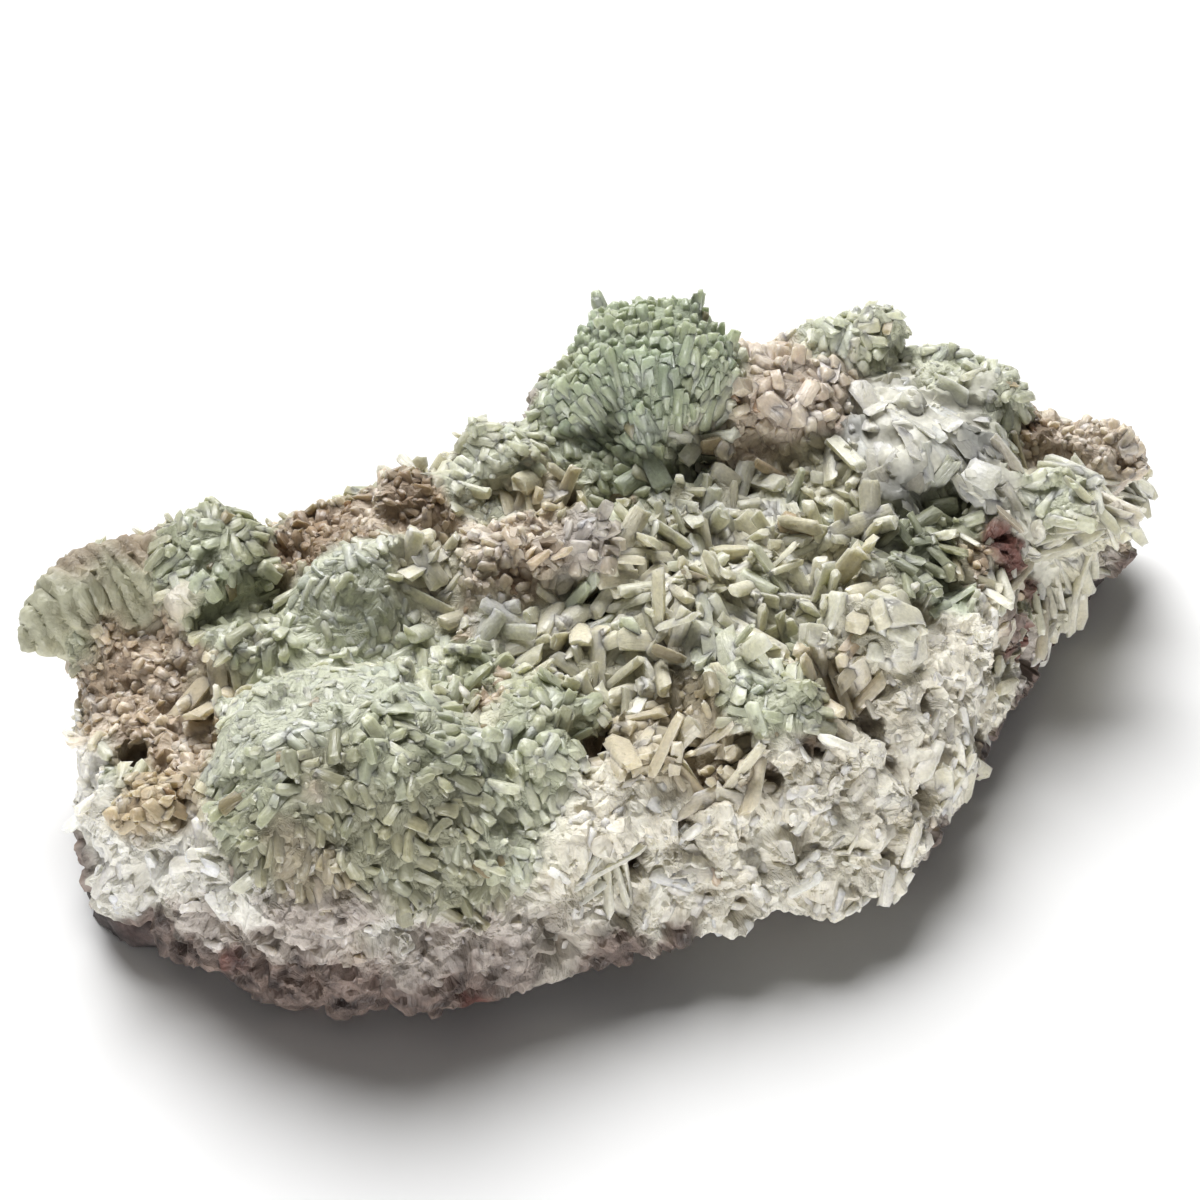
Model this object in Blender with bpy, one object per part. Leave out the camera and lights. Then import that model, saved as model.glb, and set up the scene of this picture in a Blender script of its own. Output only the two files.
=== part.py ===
"""A hand-sized specimen of prehnite on its basalt, at its real size.

The specimen is an irregular slab. Two solids make it:
- prehnite_crust, the grown mass: broken walls all round, domes of crystals on top,
  cavities between them, and the larger crystals fused to what they grew from;
- basalt_matrix, the thin remnant of dark rock under it, which the specimen rests on.

Lengths are in millimetres and are scaled to metres where a shape is placed.
+X runs along the slab, +Y to its back edge and +Z up. The floor is at z = 0.
"""

import math
import random

import bmesh
import bpy
from mathutils import Matrix, Vector, noise
from mathutils.bvhtree import BVHTree

MM = 0.001

# Driving dimensions, in mm
MATRIX_TOP = 6.5            # mean height of the basalt's upper side
MATRIX_BELOW = 3.0          # how far it is drawn below the floor, before it is cut level there
LEVEL_SNAP = 0.25           # points this close to the floor are put on it
CUTTER = (260, 200, 40)
SEAM_GAP = 0.3              # air between the two solids
BODY_GRAIN = 1.5            # side of the small cubes that the mass is blended with
MATRIX_GRAIN = 2.4
BODY_FACES = 2120           # triangles left for the mass before its crystals
MATRIX_FACES = 700
CRUST_WAVES = ((8.0, 1.9), (2.8, 1.0))      # grain and height of the broken surface's noise
MATRIX_WAVES = ((21.0, 2.6), (6.0, 1.5))
SEED = 7

# The broken wall, walked round from the left front corner: the foot of the wall and its top edge
WALL = [
    ((-82, -33, 6), (-80, -22, 27)),
    ((-81, -40, 4), (-75, -35, 27)),
    ((-67, -47, 2.5), (-66, -45, 27)),
    ((-55, -54, 2), (-55, -52, 28)),
    ((-42, -58, 2), (-41, -54, 29)),
    ((-28, -59, 2.5), (-27, -53, 28)),
    ((-15, -56, 4), (-15, -51, 28)),
    ((-4, -52, 6), (-5, -46, 28)),
    ((5, -51, 8), (2, -43, 28)),
    ((19, -47, 10), (12, -38, 28)),
    ((31, -46, 10), (26, -33, 28)),
    ((40, -41, 9), (37, -27, 28)),
    ((48, -30, 8), (47, -20, 28)),
    ((54, -16, 6), (55, -7, 29)),
    ((63, -2, 5), (59, 8, 31)),
    ((74, 17, 5), (63, 22, 32)),
    ((86, 35, 8), (78, 32, 30)),
    ((91, 44, 14), (86, 40, 24)),
    ((84, 49, 8), (76, 44, 31)),
    ((70, 54, 6), (64, 47, 34)),
    ((56, 58, 6), (52, 52, 36)),
    ((40, 59, 6), (38, 54, 37)),
    ((22, 57, 6), (22, 52, 38)),
    ((4, 54, 6), (4, 49, 38)),
    ((-12, 47, 6), (-10, 41, 38)),
    ((-26, 37, 6), (-23, 30, 37)),
    ((-42, 29, 6), (-38, 22, 35)),
    ((-60, 22, 6), (-57, 14, 34)),
    ((-75, 13, 6), (-71, 8, 34)),
    ((-84, 0, 6), (-82, -2, 30)),
    ((-84, -16, 6), (-83, -11, 28)),
]

# Rounded growths on the slab: centre, half sizes, turn about Z in degrees
LUMPS = {
    "big_dome": ((-39, -36, 25), (25, 22, 21), -12),
    "high_dome": ((6, 41, 39), (15, 13.5, 16), 0),
    "high_dome_shoulder": ((-6, 38, 36), (9, 8, 9), 0),
    "left_barrel": ((-81, 1, 32), (14, 6.5, 7), 44),
    "upper_left_dome": ((-63, 6, 34), (11, 8, 9), 10),
    "smooth_bead": ((-66, -3, 34), (4.5, 3.6, 4), 20),
    "second_dome": ((-39, 2, 33), (13, 9, 9), 32),
    "olive_dome": ((-31, 16, 36), (10, 7, 7), 25),
    "lipped_plate": ((-19, 25, 37), (8, 6, 6), 20),
    "rust_ridge": ((-47, 12, 33), (10, 5, 5), 28),
    "pink_cluster": ((-19, 6, 33), (11, 8, 7), 0),
    "lilac_lump": ((-5, 8, 35), (7, 6, 6), 0),
    "popcorn_dome": ((25, 41, 36), (12, 9, 8), 0),
    "pale_massive": ((46, 32, 34), (19, 14, 6), -35),
    "back_dome": ((38, 52, 39), (10, 6, 6), 0),
    "back_horn": ((44, 53, 42), (4, 3.5, 6), 0),
    "back_shoulder": ((57, 44, 36), (11, 8, 6), -25),
    "right_corner": ((79, 38, 28), (9, 6, 5), -10),
    "right_bead": ((71, 23, 29), (8, 7, 7), 0),
    "green_dome": ((21, -21, 29), (12, 10, 9), -20),
    "leaf_dome": ((-12, -27, 29), (11, 10, 8), 0),
    "white_blocks": ((37, -10, 34), (8, 6, 8), 0),
    "left_lumps": ((-56, -11, 32), (9, 6, 6), 20),
    "yellow_lump": ((-68, -38, 26), (7, 6, 6), 0),
    "cream_lumps": ((3, -31, 28), (8, 6, 6), 0),
    "centre_knoll": ((12, -2, 31), (14, 12, 6), 0),
    "right_knoll": ((42, 8, 30), (12, 12, 6), 0),
}

# Cavities that break the surface: centre and half sizes
CAVITIES = [
    ((-55, -8, 37), (4, 3, 6)),
    ((-60, -28, 31), (5, 4, 7)),
    ((-72, -28, 30), (3.5, 4, 7)),
    ((-3, -28, 34), (5, 4, 8)),
    ((3, -45, 23), (4, 5, 5)),
    ((12, 15, 34), (6, 4, 7)),
    ((-20, 19, 34), (5, 3.5, 4)),
    ((40, 37, 41), (5, 3.5, 6)),
    ((71, 34, 33), (5, 3.5, 7)),
    ((44, -3, 33), (4, 3, 8)),
    ((39, -23, 31), (4, 4, 8)),
    ((22, -34, 30), (4, 3, 6)),
    ((50, 20, 34), (6, 4, 7)),
    ((-2, 20, 37), (4, 3, 6)),
    ((16, 9, 36), (4, 4, 8)),
    ((-14, 2, 38), (3, 3, 5)),
    ((-31, -58, 21), (5, 4, 4)),
    ((-56, -57, 19), (5, 3.5, 3)),
    ((25, -43, 18), (5, 4, 3)),
    ((46, -24, 19), (4, 5, 3)),
    ((64, 8, 21), (5, 5, 4)),
    ((30, 60, 22), (6, 4, 4)),
    ((-30, 37, 20), (6, 4, 4)),
    ((-84, -8, 19), (4, 5, 4)),
]

# Crystals fused to the mass. A fan opens from its root: root, reach, count, length, width, thickness
FANS = [
    ((-39, -36, 10), 45, 50, (7, 9), (3.6, 5.0), (2.4, 3.2)),
    ((7, 37, 24), 40, 34, (7, 9), (3.0, 4.2), (2.0, 2.8)),
    ((-63, 6, 22), 26, 10, (6, 8), (3.2, 4.2), (2.2, 3.0)),
    ((-39, 2, 20), 28, 11, (6, 8), (3.2, 4.2), (2.2, 3.0)),
    ((21, -21, 15), 30, 16, (6, 8), (3.2, 4.4), (2.2, 3.0)),
    ((-12, -27, 15), 30, 10, (6, 8), (3.2, 4.4), (2.2, 3.0)),
    ((40, 48, 24), 32, 12, (6, 8), (3.2, 4.2), (2.2, 3.0)),
]
FAN_SUNK = 0.64             # share of a fan's crystal that is inside the dome
STEEPEST = 0.3              # a fan's crystals point at least this much upwards

# Crystals that lie criss-cross: middle of the patch, the way it is looked at, its reach,
# count, length, width, thickness
DOWN = (0, 0, -1)
TANGLES = [
    ((14, 8, 34), DOWN, 24, 36, (9, 13), (3.0, 4.2), (1.8, 2.6)),
    ((40, -4, 34), DOWN, 17, 12, (9, 12), (3.4, 5.0), (2.0, 3.0)),
    ((-14, 10, 36), DOWN, 15, 6, (8, 10), (2.8, 4.0), (1.8, 2.4)),
    ((4, -32, 28), DOWN, 13, 6, (8, 10), (3.0, 4.2), (1.8, 2.4)),
    ((68, 22, 26), DOWN, 14, 8, (9, 13), (3.0, 4.4), (1.8, 2.5)),
    ((28, -36, 18), (-0.3, 1, -0.3), 17, 6, (9, 12), (3.0, 4.4), (1.8, 2.5)),
    ((62, 4, 18), (-1, 0.6, -0.2), 20, 6, (9, 13), (3.0, 4.6), (1.8, 2.5)),
    ((-40, -55, 16), (0, 1, -0.1), 30, 4, (8, 11), (3.2, 4.8), (2.2, 3.0)),
    ((10, 56, 22), (0, -1, 0), 34, 6, (8, 12), (3.2, 4.8), (2.2, 3.0)),
]
TANGLE_SUNK = 0.45
LOWEST_CRYSTAL = 12.0
FAN_SPREAD = 1.55           # angle between a fan's crystals, in radians, times the root of their count
FAN_TRIES = 60              # directions tried for each crystal of a fan
FAN_JITTER = 0.3
TANGLE_LEAN = (0.1, 0.6)
VIEW_FROM = 60.0            # how far off a tangle's surface is looked for
TIP_SHARE = (0.62, 0.4)     # width and thickness of a crystal's tip, of those at its foot

# The basalt under the mass: its outline, pulled in under the overhanging front and right
MATRIX_OUTLINE = [
    (-80.5, -38.5), (-74, -42.5), (-66, -43.5), (-54, -49.5), (-42, -53), (-29, -53.5), (-17, -50),
    (-8, -46), (3, -41), (18, -36), (32, -32), (42, -24), (50, -10), (60, 1), (71, 19), (83, 36),
    (82, 45), (68, 51), (54, 54), (38, 55), (20, 53), (2, 50), (-14, 42), (-28, 33), (-44, 25),
    (-60, 18), (-74, 9), (-81, -3), (-82, -20), (-82.5, -31),
]

def clear_scene():
    for obj in list(bpy.data.objects):
        bpy.data.objects.remove(obj, do_unlink=True)


def new_object(name, bm):
    """Makes an object of a bmesh whose sizes are in mm."""
    bmesh.ops.scale(bm, vec=(MM, MM, MM), verts=bm.verts)
    bmesh.ops.recalc_face_normals(bm, faces=bm.faces)
    mesh = bpy.data.meshes.new(name)
    bm.to_mesh(mesh)
    bm.free()
    obj = bpy.data.objects.new(name, mesh)
    bpy.context.scene.collection.objects.link(obj)
    return obj


def keep_evaluated(obj):
    """Turns what the modifiers show into the object's own mesh."""
    graph = bpy.context.evaluated_depsgraph_get()
    mesh = bpy.data.meshes.new_from_object(obj.evaluated_get(graph))
    obj.modifiers.clear()
    obj.data = mesh


def keep_largest(obj):
    """Drops every shell but the largest: closed pockets inside are filled by this."""
    shells = bmesh.new()
    shells.from_mesh(obj.data)
    left = set(shells.verts)
    groups = []
    while left:
        group = [left.pop()]
        for vertex in group:
            near = {e.other_vert(vertex) for e in vertex.link_edges} & left
            left -= near
            group.extend(near)
        groups.append(group)
    groups.sort(key=len)
    for group in groups[:-1]:
        bmesh.ops.delete(shells, geom=group, context="VERTS")
    shells.to_mesh(obj.data)
    shells.free()


def blend_shapes(obj, grain):
    """Melts overlapping closed shapes into one skin."""
    remesh = obj.modifiers.new("blend", "REMESH")
    remesh.mode = "VOXEL"
    remesh.voxel_size = grain * MM
    keep_evaluated(obj)
    keep_largest(obj)


def thin_faces(obj, target):
    """Leaves about target triangles, which also turns round skin into flat facets."""
    obj.data.calc_loop_triangles()
    decimate = obj.modifiers.new("facets", "DECIMATE")
    decimate.ratio = target / len(obj.data.loop_triangles)
    decimate.use_collapse_triangulate = True
    keep_evaluated(obj)


def roughen(obj, coarse, fine):
    """Moves each point along its normal by noise of two sizes: (grain, height) each."""
    for vertex, normal in [(v, v.normal.copy()) for v in obj.data.vertices]:
        place = vertex.co / MM
        height = sum(tall * noise.noise(place / grain) for grain, tall in (coarse, fine))
        vertex.co += normal * MM * height
    obj.data.update()


def boolean(obj, other, operation, own_overlaps=False):
    modifier = obj.modifiers.new(operation.lower(), "BOOLEAN")
    modifier.operation = operation
    modifier.object = other
    modifier.use_self = own_overlaps
    keep_evaluated(obj)
    bpy.data.objects.remove(other, do_unlink=True)


def add_ellipsoid(bm, centre, half, turn=0.0, detail=3):
    place = Matrix.Translation(centre) @ Matrix.Rotation(math.radians(turn), 4, "Z")
    bmesh.ops.create_icosphere(
        bm, subdivisions=detail, radius=1.0, matrix=place @ Matrix.Diagonal((*half, 1.0))
    )


def add_wall_slab(bm):
    """Bridges the foot of the broken wall to its top edge and closes both ends."""
    foot = [bm.verts.new(low) for low, _ in WALL]
    edge = [bm.verts.new(high) for _, high in WALL]
    rings = [bm.edges.new((ring[i - 1], ring[i])) for ring in (foot, edge) for i in range(len(WALL))]
    bmesh.ops.bridge_loops(bm, edges=rings)
    for ring in (rings[: len(WALL)], rings[len(WALL) :]):
        bmesh.ops.triangle_fill(bm, edges=ring, use_beauty=True)


def add_crystal(bm, place, length, width, thickness):
    """A flat-faced blade that narrows to a blunt tip. It grows from place along place's Z."""
    size = Matrix.Diagonal((width, thickness, length, 1))
    middle = Matrix.Translation((0, 0, length / 2))
    block = bmesh.ops.create_cube(bm, size=1.0, matrix=middle @ size)["verts"]
    tip = [v for v in block if v.co.z > length / 2]
    bmesh.ops.scale(bm, vec=(*TIP_SHARE, 1.0), verts=tip)
    bmesh.ops.transform(bm, matrix=place, verts=block)


def facing(origin, direction, spin):
    """A placement at origin whose Z runs along direction, spun about it."""
    turn = direction.to_track_quat("Z", "Y").to_matrix().to_4x4()
    return Matrix.Translation(origin) @ turn @ Matrix.Rotation(spin, 4, "Z")


def random_direction(rng):
    while True:
        way = Vector((rng.uniform(-1, 1), rng.uniform(-1, 1), rng.uniform(-0.2, 1)))
        if 0.2 < way.length < 1:
            return way.normalized()


def skin_of(obj):
    """The object's skin in mm, for finding where a ray from inside leaves it."""
    points = [v.co / MM for v in obj.data.vertices]
    return BVHTree.FromPolygons(points, [p.vertices for p in obj.data.polygons])


def even_directions(rng, count):
    """Ways that point up and outwards and keep clear of each other."""
    ways = []
    apart = math.cos(FAN_SPREAD / math.sqrt(count))
    for _ in range(FAN_TRIES * count):
        way = random_direction(rng)
        if way.z > STEEPEST and all(way.dot(other) < apart for other in ways):
            ways.append(way)
    return ways[:count]


def add_fan(bm, skin, rng, root, reach, count, lengths, widths, thicks):
    """Crystals that open outwards from one root, spread evenly over the dome above it."""
    root = Vector(root)
    for way in even_directions(rng, count):
        hit, _, _, distance = skin.ray_cast(root, way)
        if hit is None or distance > reach or hit.z < LOWEST_CRYSTAL:
            continue
        length = rng.uniform(*lengths)
        lean = (way + FAN_JITTER * random_direction(rng)).normalized()
        place = facing(hit - lean * FAN_SUNK * length, lean, rng.uniform(0, math.pi))
        add_crystal(bm, place, length, rng.uniform(*widths), rng.uniform(*thicks))


def add_tangle(bm, skin, rng, middle, aim, reach, count, lengths, widths, thicks):
    """Crystals that lie across each other, each half sunk in the surface that aim looks at."""
    aim = Vector(aim).normalized()
    disc = aim.to_track_quat("Z", "Y")
    for _ in range(count):
        angle = rng.uniform(0, math.tau)
        aside = reach * math.sqrt(rng.random())
        start = Vector(middle) - aim * VIEW_FROM
        start += disc @ Vector((math.cos(angle) * aside, math.sin(angle) * aside, 0))
        hit, normal, _, _ = skin.ray_cast(start, aim)
        if hit is None or hit.z < LOWEST_CRYSTAL:
            continue
        length = rng.uniform(*lengths)
        flat = random_direction(rng)
        flat -= normal * flat.dot(normal)
        lean = (flat.normalized() + normal * rng.uniform(*TANGLE_LEAN)).normalized()
        place = facing(hit - lean * TANGLE_SUNK * length, lean, rng.uniform(0, math.pi))
        add_crystal(bm, place, length, rng.uniform(*widths), rng.uniform(*thicks))


def make_crust():
    """The grown mass, before it is parted from the basalt."""
    body = bmesh.new()
    add_wall_slab(body)
    for centre, half, turn in LUMPS.values():
        add_ellipsoid(body, centre, half, turn)
    crust = new_object("prehnite_crust", body)
    blend_shapes(crust, BODY_GRAIN)

    hollows = bmesh.new()
    for centre, half in CAVITIES:
        add_ellipsoid(hollows, centre, half, detail=2)
    boolean(crust, new_object("cavities", hollows), "DIFFERENCE", own_overlaps=True)
    blend_shapes(crust, BODY_GRAIN)
    roughen(crust, *CRUST_WAVES)
    thin_faces(crust, BODY_FACES)

    rng = random.Random(SEED)
    skin = skin_of(crust)
    crystals = bmesh.new()
    for fan in FANS:
        add_fan(crystals, skin, rng, *fan)
    for tangle in TANGLES:
        add_tangle(crystals, skin, rng, *tangle)
    boolean(crust, new_object("crystals", crystals), "UNION", own_overlaps=True)
    return crust


def make_matrix():
    """The basalt: a ragged plate with a wandering top, cut flat where it rests."""
    plate = bmesh.new()
    foot = [plate.verts.new((x, y, -MATRIX_BELOW)) for x, y in MATRIX_OUTLINE]
    edges = [plate.edges.new((foot[i - 1], foot[i])) for i in range(len(foot))]
    base = bmesh.ops.triangle_fill(plate, edges=edges, use_beauty=True)["geom"]
    faces = [g for g in base if isinstance(g, bmesh.types.BMFace)]
    grown = bmesh.ops.extrude_face_region(plate, geom=faces)["geom"]
    top = [g for g in grown if isinstance(g, bmesh.types.BMVert)]
    bmesh.ops.translate(plate, vec=(0, 0, MATRIX_TOP + MATRIX_BELOW), verts=top)
    matrix = new_object("basalt_matrix", plate)
    blend_shapes(matrix, MATRIX_GRAIN)
    roughen(matrix, *MATRIX_WAVES)
    below = bmesh.new()
    place = Matrix.Translation((0, 0, -CUTTER[2] / 2)) @ Matrix.Diagonal((*CUTTER, 1))
    bmesh.ops.create_cube(below, size=1.0, matrix=place)
    boolean(matrix, new_object("below_floor", below), "DIFFERENCE")
    thin_faces(matrix, MATRIX_FACES)
    for vertex in matrix.data.vertices:
        if vertex.co.z < LEVEL_SNAP * MM:
            vertex.co.z = 0.0
    return matrix


def part_from(crust, matrix):
    """Takes the basalt, swollen by the seam gap, out of the grown mass."""
    swollen = matrix.copy()
    swollen.data = matrix.data.copy()
    bpy.context.scene.collection.objects.link(swollen)
    for vertex, normal in [(v, v.normal.copy()) for v in swollen.data.vertices]:
        vertex.co += normal * MM * SEAM_GAP
    boolean(crust, swollen, "DIFFERENCE")


def give_finish(obj, name, colour, roughness):
    material = bpy.data.materials.new(name)
    material.use_nodes = True
    shader = material.node_tree.nodes["Principled BSDF"]
    shader.inputs["Base Color"].default_value = (*colour, 1.0)
    shader.inputs["Roughness"].default_value = roughness
    shader.inputs["Metallic"].default_value = 0.0
    obj.data.materials.clear()
    obj.data.materials.append(material)


def centre_on_origin(objects):
    """Puts the middle of the whole specimen's footprint over the origin."""
    points = [v.co for obj in objects for v in obj.data.vertices]
    for axis in range(2):
        values = [p[axis] for p in points]
        middle = (min(values) + max(values)) / 2
        print("shift on axis", axis, "is", round(-middle / MM, 2), "mm")
        for point in points:
            point[axis] -= middle


def main():
    clear_scene()
    matrix = make_matrix()
    crust = make_crust()
    part_from(crust, matrix)
    keep_largest(crust)
    keep_largest(matrix)
    centre_on_origin([crust, matrix])
    give_finish(crust, "prehnite", (0.50, 0.52, 0.41), 0.45)
    give_finish(matrix, "basalt", (0.11, 0.085, 0.07), 0.85)


main()
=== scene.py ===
# %% [markdown]
# # A prehnite specimen, from two plain solids
# The real thing is one loose piece of rock, about the length of a hand. Pale green and cream
# prehnite grew over dark basalt in domes of small tabular crystals, in a box-work of longer
# blades, and in white fibrous walls where the slab was broken. The two solids that are loaded
# here have the slab's true form and size, with flat facets. This lesson gives them a fine
# surface, then plants the thousands of small crystals that a plain solid can't hold.

# %% Load the two solids
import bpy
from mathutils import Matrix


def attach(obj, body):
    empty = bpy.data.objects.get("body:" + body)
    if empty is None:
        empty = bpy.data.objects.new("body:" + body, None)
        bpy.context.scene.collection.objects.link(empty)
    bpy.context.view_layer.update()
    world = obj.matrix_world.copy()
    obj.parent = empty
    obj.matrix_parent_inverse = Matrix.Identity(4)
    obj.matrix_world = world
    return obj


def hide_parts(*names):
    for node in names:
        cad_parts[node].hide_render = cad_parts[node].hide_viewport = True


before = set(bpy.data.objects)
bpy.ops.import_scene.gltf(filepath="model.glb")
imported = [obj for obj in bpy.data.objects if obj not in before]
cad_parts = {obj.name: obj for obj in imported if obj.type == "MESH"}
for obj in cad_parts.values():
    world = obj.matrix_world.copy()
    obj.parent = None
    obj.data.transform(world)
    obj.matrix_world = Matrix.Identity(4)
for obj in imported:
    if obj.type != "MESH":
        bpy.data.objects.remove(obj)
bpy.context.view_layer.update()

import math

import bmesh
import bpy
import numpy as np
from mathutils import Vector, noise
from mathutils.bvhtree import BVHTree

MM = 0.001
scene = bpy.context.scene

# %% [markdown]
# ## The camera
# A product photograph of a rock is taken from well above, so that the domes show. The camera
# looks down at 45 degrees from 45 cm away with a long lens, which keeps the far edge almost as
# large as the near one. It comes first because later cells ask it what it sees.

# %% Set up the camera
AIM = Vector((-1.7, 12.3, 20.0))
DISTANCE = 450.0
ELEVATION = math.radians(45)
FRAME_PIXELS = 1200
SENSOR = 36.0
LENS = 84.4

eye = AIM + DISTANCE * Vector((0, -math.cos(ELEVATION), math.sin(ELEVATION)))
lens = bpy.data.cameras.new("portrait")
lens.sensor_width = SENSOR
lens.lens = LENS
lens.clip_start = 0.01
camera = bpy.data.objects.new("portrait", lens)
camera.location = eye * MM
camera.rotation_euler = (math.pi / 2 - ELEVATION, 0, 0)
scene.collection.objects.link(camera)
scene.camera = camera
print("camera at", [round(v) for v in eye], "mm")

# %% [markdown]
# ## Floor and light
# The floor is white and close to overexposed. A broad sun from behind and the left gives soft
# shadows that fall towards the viewer. A weak one, low in front, does what a white card does: it
# lights the broken wall but hardly the floor. A dim white world fills the rest. Suns are used and
# not area lamps because they light the whole floor evenly.

# %% Lay the floor and light it
FLOOR_HALF = 2.5
WORLD_STRENGTH = 0.075
SUNS = {
    # lamp: the way towards it, strength, softness in degrees
    "window": ((-0.22, 0.74, 1.0), 4.5, 42),
    "white card": ((-0.05, -1.0, 0.0), 3.5, 8),
}

floor_shape = bmesh.new()
bmesh.ops.create_grid(floor_shape, x_segments=2, y_segments=2, size=FLOOR_HALF)
floor_mesh = bpy.data.meshes.new("floor")
floor_shape.to_mesh(floor_mesh)
floor_shape.free()
floor = bpy.data.objects.new("floor", floor_mesh)
scene.collection.objects.link(floor)
paper = bpy.data.materials.new("white paper")
paper.use_nodes = True
paper.node_tree.nodes["Principled BSDF"].inputs["Base Color"].default_value = (0.93, 0.93, 0.93, 1)
paper.node_tree.nodes["Principled BSDF"].inputs["Roughness"].default_value = 0.9
floor_mesh.materials.append(paper)

for name, (way, strength, softness) in SUNS.items():
    lamp = bpy.data.lights.new(name, "SUN")
    lamp.energy = strength
    lamp.angle = math.radians(softness)
    sun = bpy.data.objects.new(name, lamp)
    sun.rotation_euler = Vector(way).to_track_quat("Z", "Y").to_euler()
    scene.collection.objects.link(sun)
world = bpy.data.worlds.new("white room")
world.use_nodes = True
world.node_tree.nodes["Background"].inputs["Color"].default_value = (1.0, 1.0, 1.0, 1)
world.node_tree.nodes["Background"].inputs["Strength"].default_value = WORLD_STRENGTH
scene.world = world
scene.view_settings.view_transform = "Standard"
print("suns:", list(SUNS))

# %% [markdown]
# ## A fine skin
# The loaded triangles are loose, so they are merged on a copy first. A voxel remesh then cuts the
# skin into even faces of a millimetre, which can be pushed in and out. Where few crystals will
# cover it, as on the broken walls, the faces are quartered once more, because most of the detail
# there has to come from the skin itself.

# %% Give each solid a fine skin
MASS_GRAIN = 1.0
BASALT_GRAIN = 1.2
WALL_SLOPE = 0.55
BACK_SLOPE = 0.6
SEEN_FROM = 3.0
MERGE_WITHIN = 0.01
BARE_SPOTS = ((Vector((47, 33, 38)), 20.0), (Vector((-79, 14, 24)), 16.0))


def keep_shape(piece):
    """Keeps what the modifiers show as the piece's own mesh."""
    graph = bpy.context.evaluated_depsgraph_get()
    mesh = bpy.data.meshes.new_from_object(piece.evaluated_get(graph))
    piece.modifiers.clear()
    piece.data = mesh


def fine_copy(name, node, grain):
    """A copy of a solid as an even, fine skin."""
    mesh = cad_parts[node].data.copy()
    mesh.materials.clear()
    piece = bpy.data.objects.new(name, mesh)
    scene.collection.objects.link(piece)
    merged = bmesh.new()
    merged.from_mesh(mesh)
    bmesh.ops.remove_doubles(merged, verts=merged.verts, dist=MERGE_WITHIN * MM)
    merged.to_mesh(mesh)
    merged.free()
    remesh = piece.modifiers.new("grain", "REMESH")
    remesh.mode = "VOXEL"
    remesh.voxel_size = grain * MM
    keep_shape(piece)
    drop_bubbles(piece)
    return piece


def drop_bubbles(piece):
    """Deletes the skins of gaps that the remesh closed off inside: only the outer skin stays."""
    whole = bmesh.new()
    whole.from_mesh(piece.data)
    whole.verts.ensure_lookup_table()
    skins, seen = [], set()
    for vertex in whole.verts:
        if vertex in seen:
            continue
        seen.add(vertex)
        skin_part, ahead = [], [vertex]
        while ahead:
            here = ahead.pop()
            skin_part.append(here)
            for edge in here.link_edges:
                other = edge.other_vert(here)
                if other not in seen:
                    seen.add(other)
                    ahead.append(other)
        skins.append(skin_part)
    skins.sort(key=len)
    inner = [vertex for skin_part in skins[:-1] for vertex in skin_part]
    bmesh.ops.delete(whole, geom=inner, context="VERTS")
    whole.to_mesh(piece.data)
    whole.free()
    print(piece.name, "bubbles dropped:", len(skins) - 1)


def is_bare(face):
    """True where the skin itself is seen: on the walls, the massive patch and the barrel."""
    middle = face.calc_center_median() / MM
    wall = face.normal.z < WALL_SLOPE and face.normal.y < BACK_SLOPE and middle.z > SEEN_FROM
    return wall or any((middle - spot).length < reach for spot, reach in BARE_SPOTS)


def refine(piece, chosen):
    """Quarters the chosen faces."""
    finer = bmesh.new()
    finer.from_mesh(piece.data)
    edges = {edge for face in finer.faces if chosen(face) for edge in face.edges}
    bmesh.ops.subdivide_edges(finer, edges=list(edges), cuts=1, use_grid_fill=True)
    bmesh.ops.triangulate(finer, faces=finer.faces)
    finer.to_mesh(piece.data)
    finer.free()


mass = fine_copy("prehnite_mass", "prehnite_crust", MASS_GRAIN)
basalt = fine_copy("basalt_remnant", "basalt_matrix", BASALT_GRAIN)
refine(mass, is_bare)
print("faces:", len(mass.data.polygons), "and", len(basalt.data.polygons))

# %% [markdown]
# ## Which way is out
# A crystal leans by the form that it grows from and not by each small bump of it. So the
# directions are read from a smoothed copy, which has the same points in the same order. Deep pits
# are sunk along the normals of a copy smoothed still more, or thin ridges would turn inside out.

# %% Read points and calm normals
SMOOTHING = 16
BROAD_SMOOTHING = 90
SMOOTHING_FACTOR = 0.9


def read(collection, attribute):
    """All values of a vector attribute, as an array with one row each."""
    values = np.empty(len(collection) * 3, np.float32)
    collection.foreach_get(attribute, values)
    return values.reshape(-1, 3).astype(float)


def calm_normals(piece, rounds):
    """The normals that a piece has once its bumps are smoothed away."""
    smooth = piece.modifiers.new("calm", "SMOOTH")
    smooth.iterations = rounds
    smooth.factor = SMOOTHING_FACTOR
    graph = bpy.context.evaluated_depsgraph_get()
    calm = bpy.data.meshes.new_from_object(piece.evaluated_get(graph))
    piece.modifiers.clear()
    normals = read(calm.vertices, "normal")
    bpy.data.meshes.remove(calm)
    return normals


skin_points = read(mass.data.vertices, "co") / MM
skin_normals = calm_normals(mass, SMOOTHING)
broad_normals = calm_normals(mass, BROAD_SMOOTHING)
skin = BVHTree.FromPolygons([Vector(p) for p in skin_points], [p.vertices for p in mass.data.polygons])
print("points:", len(skin_points))

# %% [markdown]
# ## The looks
# Seen closely, the specimen is a patchwork. Each look has a light and a dark colour, written as
# they would be picked on a screen, and the kind of crystal that covers it. The colours differ
# little: what tells the patches apart is mostly the size and lie of the crystals.

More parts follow.
